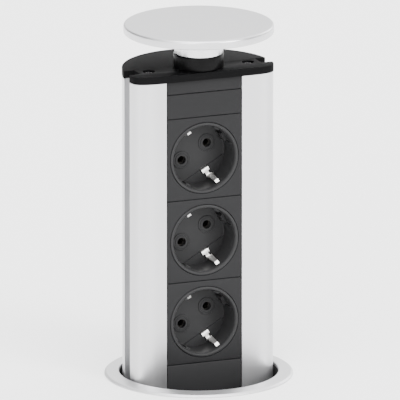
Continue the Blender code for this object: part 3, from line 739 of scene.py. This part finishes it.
# ------------------------------------------------------------------ flange and sleeve
bore = 48.6
rim = ring_high[0]
turned("desk_flange",
       rounded([(bore, 0.4, 0.05), (51.2, 0.4, 0.05), (51.2, 0.0, 0.05), (rim, 0.0, 0.15),
                (rim, 0.8, 0.3), (rim - 1.2, 1.7, 0.7), (bore + 0.5, ring_high[2], 0.4),
                (bore, 2.0, 0.3)], 0.3, 5, closed=True),
       192, FLANGE_METAL, "collar", "flange_ring")


def threaded(radius, height, angle):
    """Coarse right-hand thread of the clamp nut, 6 mm pitch, on the outer wall."""
    if radius < sleeve_high[0] - 0.2 or height > -9.0 or height < -60.5:
        return radius
    phase = (height / THREAD_PITCH - angle / (2 * math.pi)) % 1.0
    ridge = max(0.0, 1.0 - abs(phase - 0.5) * 6.0)
    return radius + 0.28 * min(ridge * 1.6, 1.0)


outer_wall = [(sleeve_high[0], z * 0.75) for z in range(-81, -10)]
sleeve_profile = ([(SLEEVE_BORE_R, sleeve_high[2]), (SLEEVE_BORE_R, sleeve_low[2] + 0.6),
                   (49.5, sleeve_low[2]), (50.4, sleeve_low[2])]
                  + [(sleeve_high[0], sleeve_low[2] + 0.5)] + outer_wall
                  + [(sleeve_high[0], sleeve_high[2])])
bm = bmesh.new()
add_lathe(bm, sleeve_profile, 128, threaded)
sleeve = to_object(bm, "desk_sleeve")
bm = bmesh.new()
add_box(bm, -5.0, 5.0, 45.0, 55.0, -36.8, -31.2)
carve(sleeve, to_object(bm, "cutter"))
done(sleeve, SHELL_BLACK, "collar", "collar_sleeve")

for side in ("left", "right"):
    low, high = corners("guide_key_" + side)
    bm = bmesh.new()
    add_box(bm, low[0], high[0], low[1], high[1], low[2], high[2])
    key = to_object(bm, "guide_shoe_" + side)
    soften(key, 0.6, 3)
    done(key, GREY, "collar", "guide_key_" + side)

# ------------------------------------------------------------------ clamp under the desk
turned("clamp_ring",
       rounded([(CLAMP_BORE_R, washer_low[2], 0.2), (washer_high[0], washer_low[2], 0.5),
                (washer_high[0], washer_high[2], 0.3), (CLAMP_BORE_R, washer_high[2], 0.2)],
               0.3, 3, closed=True),
       144, ZINC, "clamp_carrier", "clamp_washer")


def gripped(radius, height, angle):
    """Six soft grip lugs round the nut."""
    if radius < 57.0:
        return radius
    wave = math.cos(6 * (angle - 2 * math.pi * 3 / 48))
    lug = min(max((wave + 0.15) * 3.0, 0.0), 1.0)
    return radius + (nut_high[1] - NUT_R) * 0.93 * lug * lug * (3 - 2 * lug)


turned("clamp_nut_ring",
       rounded([(CLAMP_BORE_R, nut_low[2], 0.4), (NUT_R, nut_low[2], 0.8),
                (NUT_R, nut_low[2] + 5, 0), (NUT_R, nut_high[2], 0.8),
                (CLAMP_BORE_R, nut_high[2], 0.4)], 0.4, 3, closed=True),
       288, SHELL_BLACK, "clamp_turn", "clamp_nut", shape=gripped)

# ------------------------------------------------------------------ column foot
foot_half = [(OPENING_X, FACE_Y)] + cheek[4:]
bm = bmesh.new()
add_prism(bm, foot_half + arc(COLUMN_R, -3.0, 183.0, 120) + mirrored(foot_half),
          base_low[2], base_high[2])
foot = to_object(bm, "column_foot")
for spot, radius in (((-PORT[0], PORT[1]), 2.2), (PORT, 2.2), (CORD_HOLE, 8.2)):
    bm = bmesh.new()
    add_cylinder(bm, radius, base_low[2] - PAST, base_high[2] + PAST, 48, spot)
    carve(foot, to_object(bm, "cutter"))
soften(foot, 0.3, 2, angle=40)
done(foot, SHELL_BLACK, "column", "bottom_plate")

gland_low, gland_high = corners("cable_gland")
seat = base_low[2] - 0.3


def knurled(radius, height, angle):
    if radius < 9.5 or height > seat - 1.2:
        return radius
    return radius - 0.28 * (0.5 + 0.5 * math.cos(30 * angle))


turned("cord_gland",
       rounded([(4.5, gland_low[2], 0.5), (8.6, gland_low[2], 0.8),
                (10.8, gland_low[2] + 2.6, 0.6), (11.0, seat - 1.4, 0.2),
                (11.0, seat, 0.2), (7.9, seat, 0.1),
                (7.9, gland_high[2], 0.4), (4.5, gland_high[2], 0.4)], 0.4, 4, closed=True),
       180, GREY, "column", "cable_gland", shape=knurled, centre=CORD_HOLE)

# ------------------------------------------------------------------ inner pieces from the CAD
# The contacts get the darkened metal that paints the shade inside the pin holes.
INNER = {"contact_": CONTACT_PAINTED_SHADE, "busbar": BRASS, "lid_spindle": ZINC, "lock_cam": ZINC,
         "latch_": ZINC, "terminal_block": GREY, "gland_nut": GREY}
for node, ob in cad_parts.items():
    for part, finish in INNER.items():
        if part in node:
            ob.data.materials.clear()
            ob.data.materials.append(finish)

# ------------------------------------------------------------------ desk, light, camera
DESK_SIDES = 96
DESK_Z = -0.05
bm = bmesh.new()
rings = []
for reach in (CLAMP_BORE_R, 70.0, 160.0, 600.0, 2500.0, 16000.0):
    rings.append([bm.verts.new((reach * math.cos(2 * math.pi * i / DESK_SIDES),
                                reach * math.sin(2 * math.pi * i / DESK_SIDES), DESK_Z))
                  for i in range(DESK_SIDES)])
for first, second in zip(rings, rings[1:]):
    for i in range(DESK_SIDES):
        j = (i + 1) % DESK_SIDES
        bm.faces.new((first[i], second[i], second[j], first[j]))
bmesh.ops.scale(bm, vec=(MM, MM, MM), verts=bm.verts)
mesh = bpy.data.meshes.new("desk")
bm.to_mesh(mesh)
bm.free()
desk = bpy.data.objects.new("desk", mesh)
bpy.context.scene.collection.objects.link(desk)
mesh.materials.append(desk_top())

world = bpy.data.worlds.new("studio")
bpy.context.scene.world = world
world.use_nodes = True


class Studio(Finish):
    """The white studio round the object, brighter in front and overhead."""

    def __init__(self, tree):
        self.tree = tree
        where = self.node("ShaderNodeTexCoord", {}, {})
        self.direction = Signal(self, where.outputs["Generated"])

    def lobe(self, centre, low, high):
        """Soft patch of light round a direction, from nothing to one."""
        facing = self.node("ShaderNodeVectorMath", {"operation": "DOT_PRODUCT"},
                           {0: self.direction, 1: Vector(centre).normalized()})
        soft = self.node("ShaderNodeMapRange", {"interpolation_type": "SMOOTHSTEP"},
                         {"Value": Signal(self, facing.outputs["Value"]),
                          "From Min": low, "From Max": high})
        return Signal(self, soft.outputs["Result"])


studio = Studio(world.node_tree)
glow = (studio.lobe((-0.50, -1.0, 0.20), 0.1, 0.9) * 2.8
        + studio.lobe((0.0, 0.0, 1.0), 0.2, 0.9) * 1.8
        + studio.lobe((0.75, 0.75, 0.30), 0.25, 0.95) * 2.0 + 0.25)
background = world.node_tree.nodes["Background"]
background.inputs["Color"].default_value = (1.0, 1.0, 1.0, 1.0)
world.node_tree.links.new(glow.socket, background.inputs["Strength"])


def far_light(name, direction, strength, spread):
    """Large distant lamp; the spread in degrees softens its shadows."""
    lamp = bpy.data.lights.new(name, "SUN")
    lamp.energy = strength
    lamp.angle = math.radians(spread)
    ob = bpy.data.objects.new(name, lamp)
    bpy.context.scene.collection.objects.link(ob)
    ob.rotation_mode = "QUATERNION"
    ob.rotation_quaternion = Vector(direction).to_track_quat("-Z", "Y")


far_light("overhead", (0.10, 0.25, -1.0), 3.2, 50)
far_light("front_left", (0.57, 0.82, -0.30), 1.3, 24)
far_light("front_right", (-0.48, 0.85, -0.42), 3.0, 24)
far_light("back_right", (-0.80, -0.45, -0.35), 1.1, 30)

azimuth = math.radians(21.63)
elevation = math.radians(14.89)
DISTANCE = 8.0                  # metres
SENSOR = 36.0
VIEW_WIDTH = 243.0134           # millimetres of the scene across the picture
AIM = (0.7898, -10.6318)        # millimetres right and up of the column's middle
view = Vector((math.sin(azimuth) * math.cos(elevation),
               math.cos(azimuth) * math.cos(elevation), -math.sin(elevation)))
right = Vector((math.cos(azimuth), -math.sin(azimuth), 0.0))
up = right.cross(view)
target = Vector((0, 0, 120.0)) + right * AIM[0] + up * AIM[1]
target *= MM
camera = bpy.data.objects.new("camera", bpy.data.cameras.new("camera"))
bpy.context.scene.collection.objects.link(camera)
camera.data.sensor_width = SENSOR
camera.data.lens = SENSOR * DISTANCE / (VIEW_WIDTH * MM)
camera.data.clip_start = 0.1
camera.data.clip_end = 60.0
camera.location = target - view * DISTANCE
camera.rotation_mode = "QUATERNION"
camera.rotation_quaternion = view.to_track_quat("-Z", "Y")
bpy.context.scene.camera = camera
